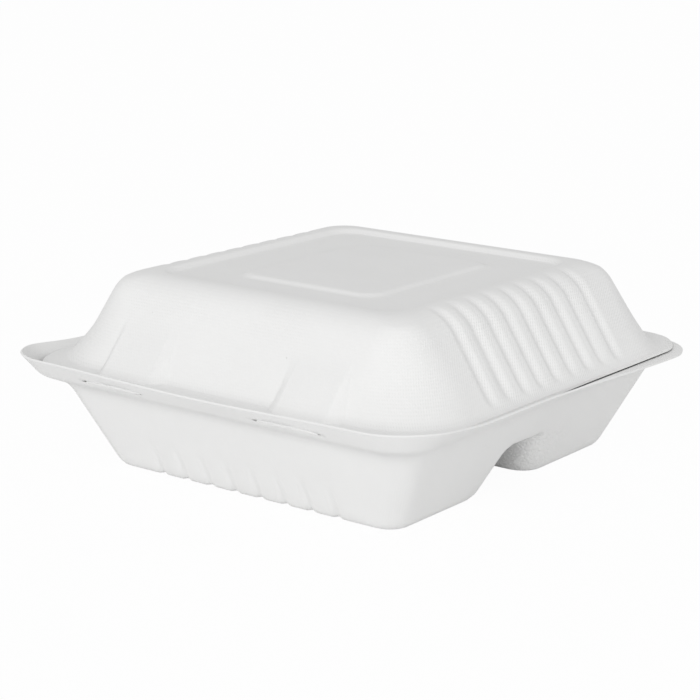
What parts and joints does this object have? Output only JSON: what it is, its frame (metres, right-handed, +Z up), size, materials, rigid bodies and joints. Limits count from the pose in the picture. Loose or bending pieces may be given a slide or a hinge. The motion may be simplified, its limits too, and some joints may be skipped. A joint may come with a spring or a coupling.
{
  "type": "clamshell food container",
  "caption": "Hinged square food container of moulded plant fibre, with a fluted domed lid that locks into the front lip of a divided tray.",
  "frame": {"origin": "middle of the whole container in plan, on the surface it rests on", "axes": "+X to the right seen from the front, +Y from the latches at the front to the fold at the back, +Z up"},
  "size_m": [0.2024, 0.214, 0.079],
  "materials": {
    "pulp": "matt moulded plant fibre with a fine mesh texture"
  },
  "bodies": {
    "tray": {"base_tray": "pulp"},
    "cover": {"lid": "pulp"}
  },
  "joints": [
    {"name": "fold", "type": "hinge", "parent": "tray", "child": "cover", "pos_m": [0, 0.10722, 0.0426], "axis": [-1, 0, 0], "range_deg": [0, 180]}
  ]
}
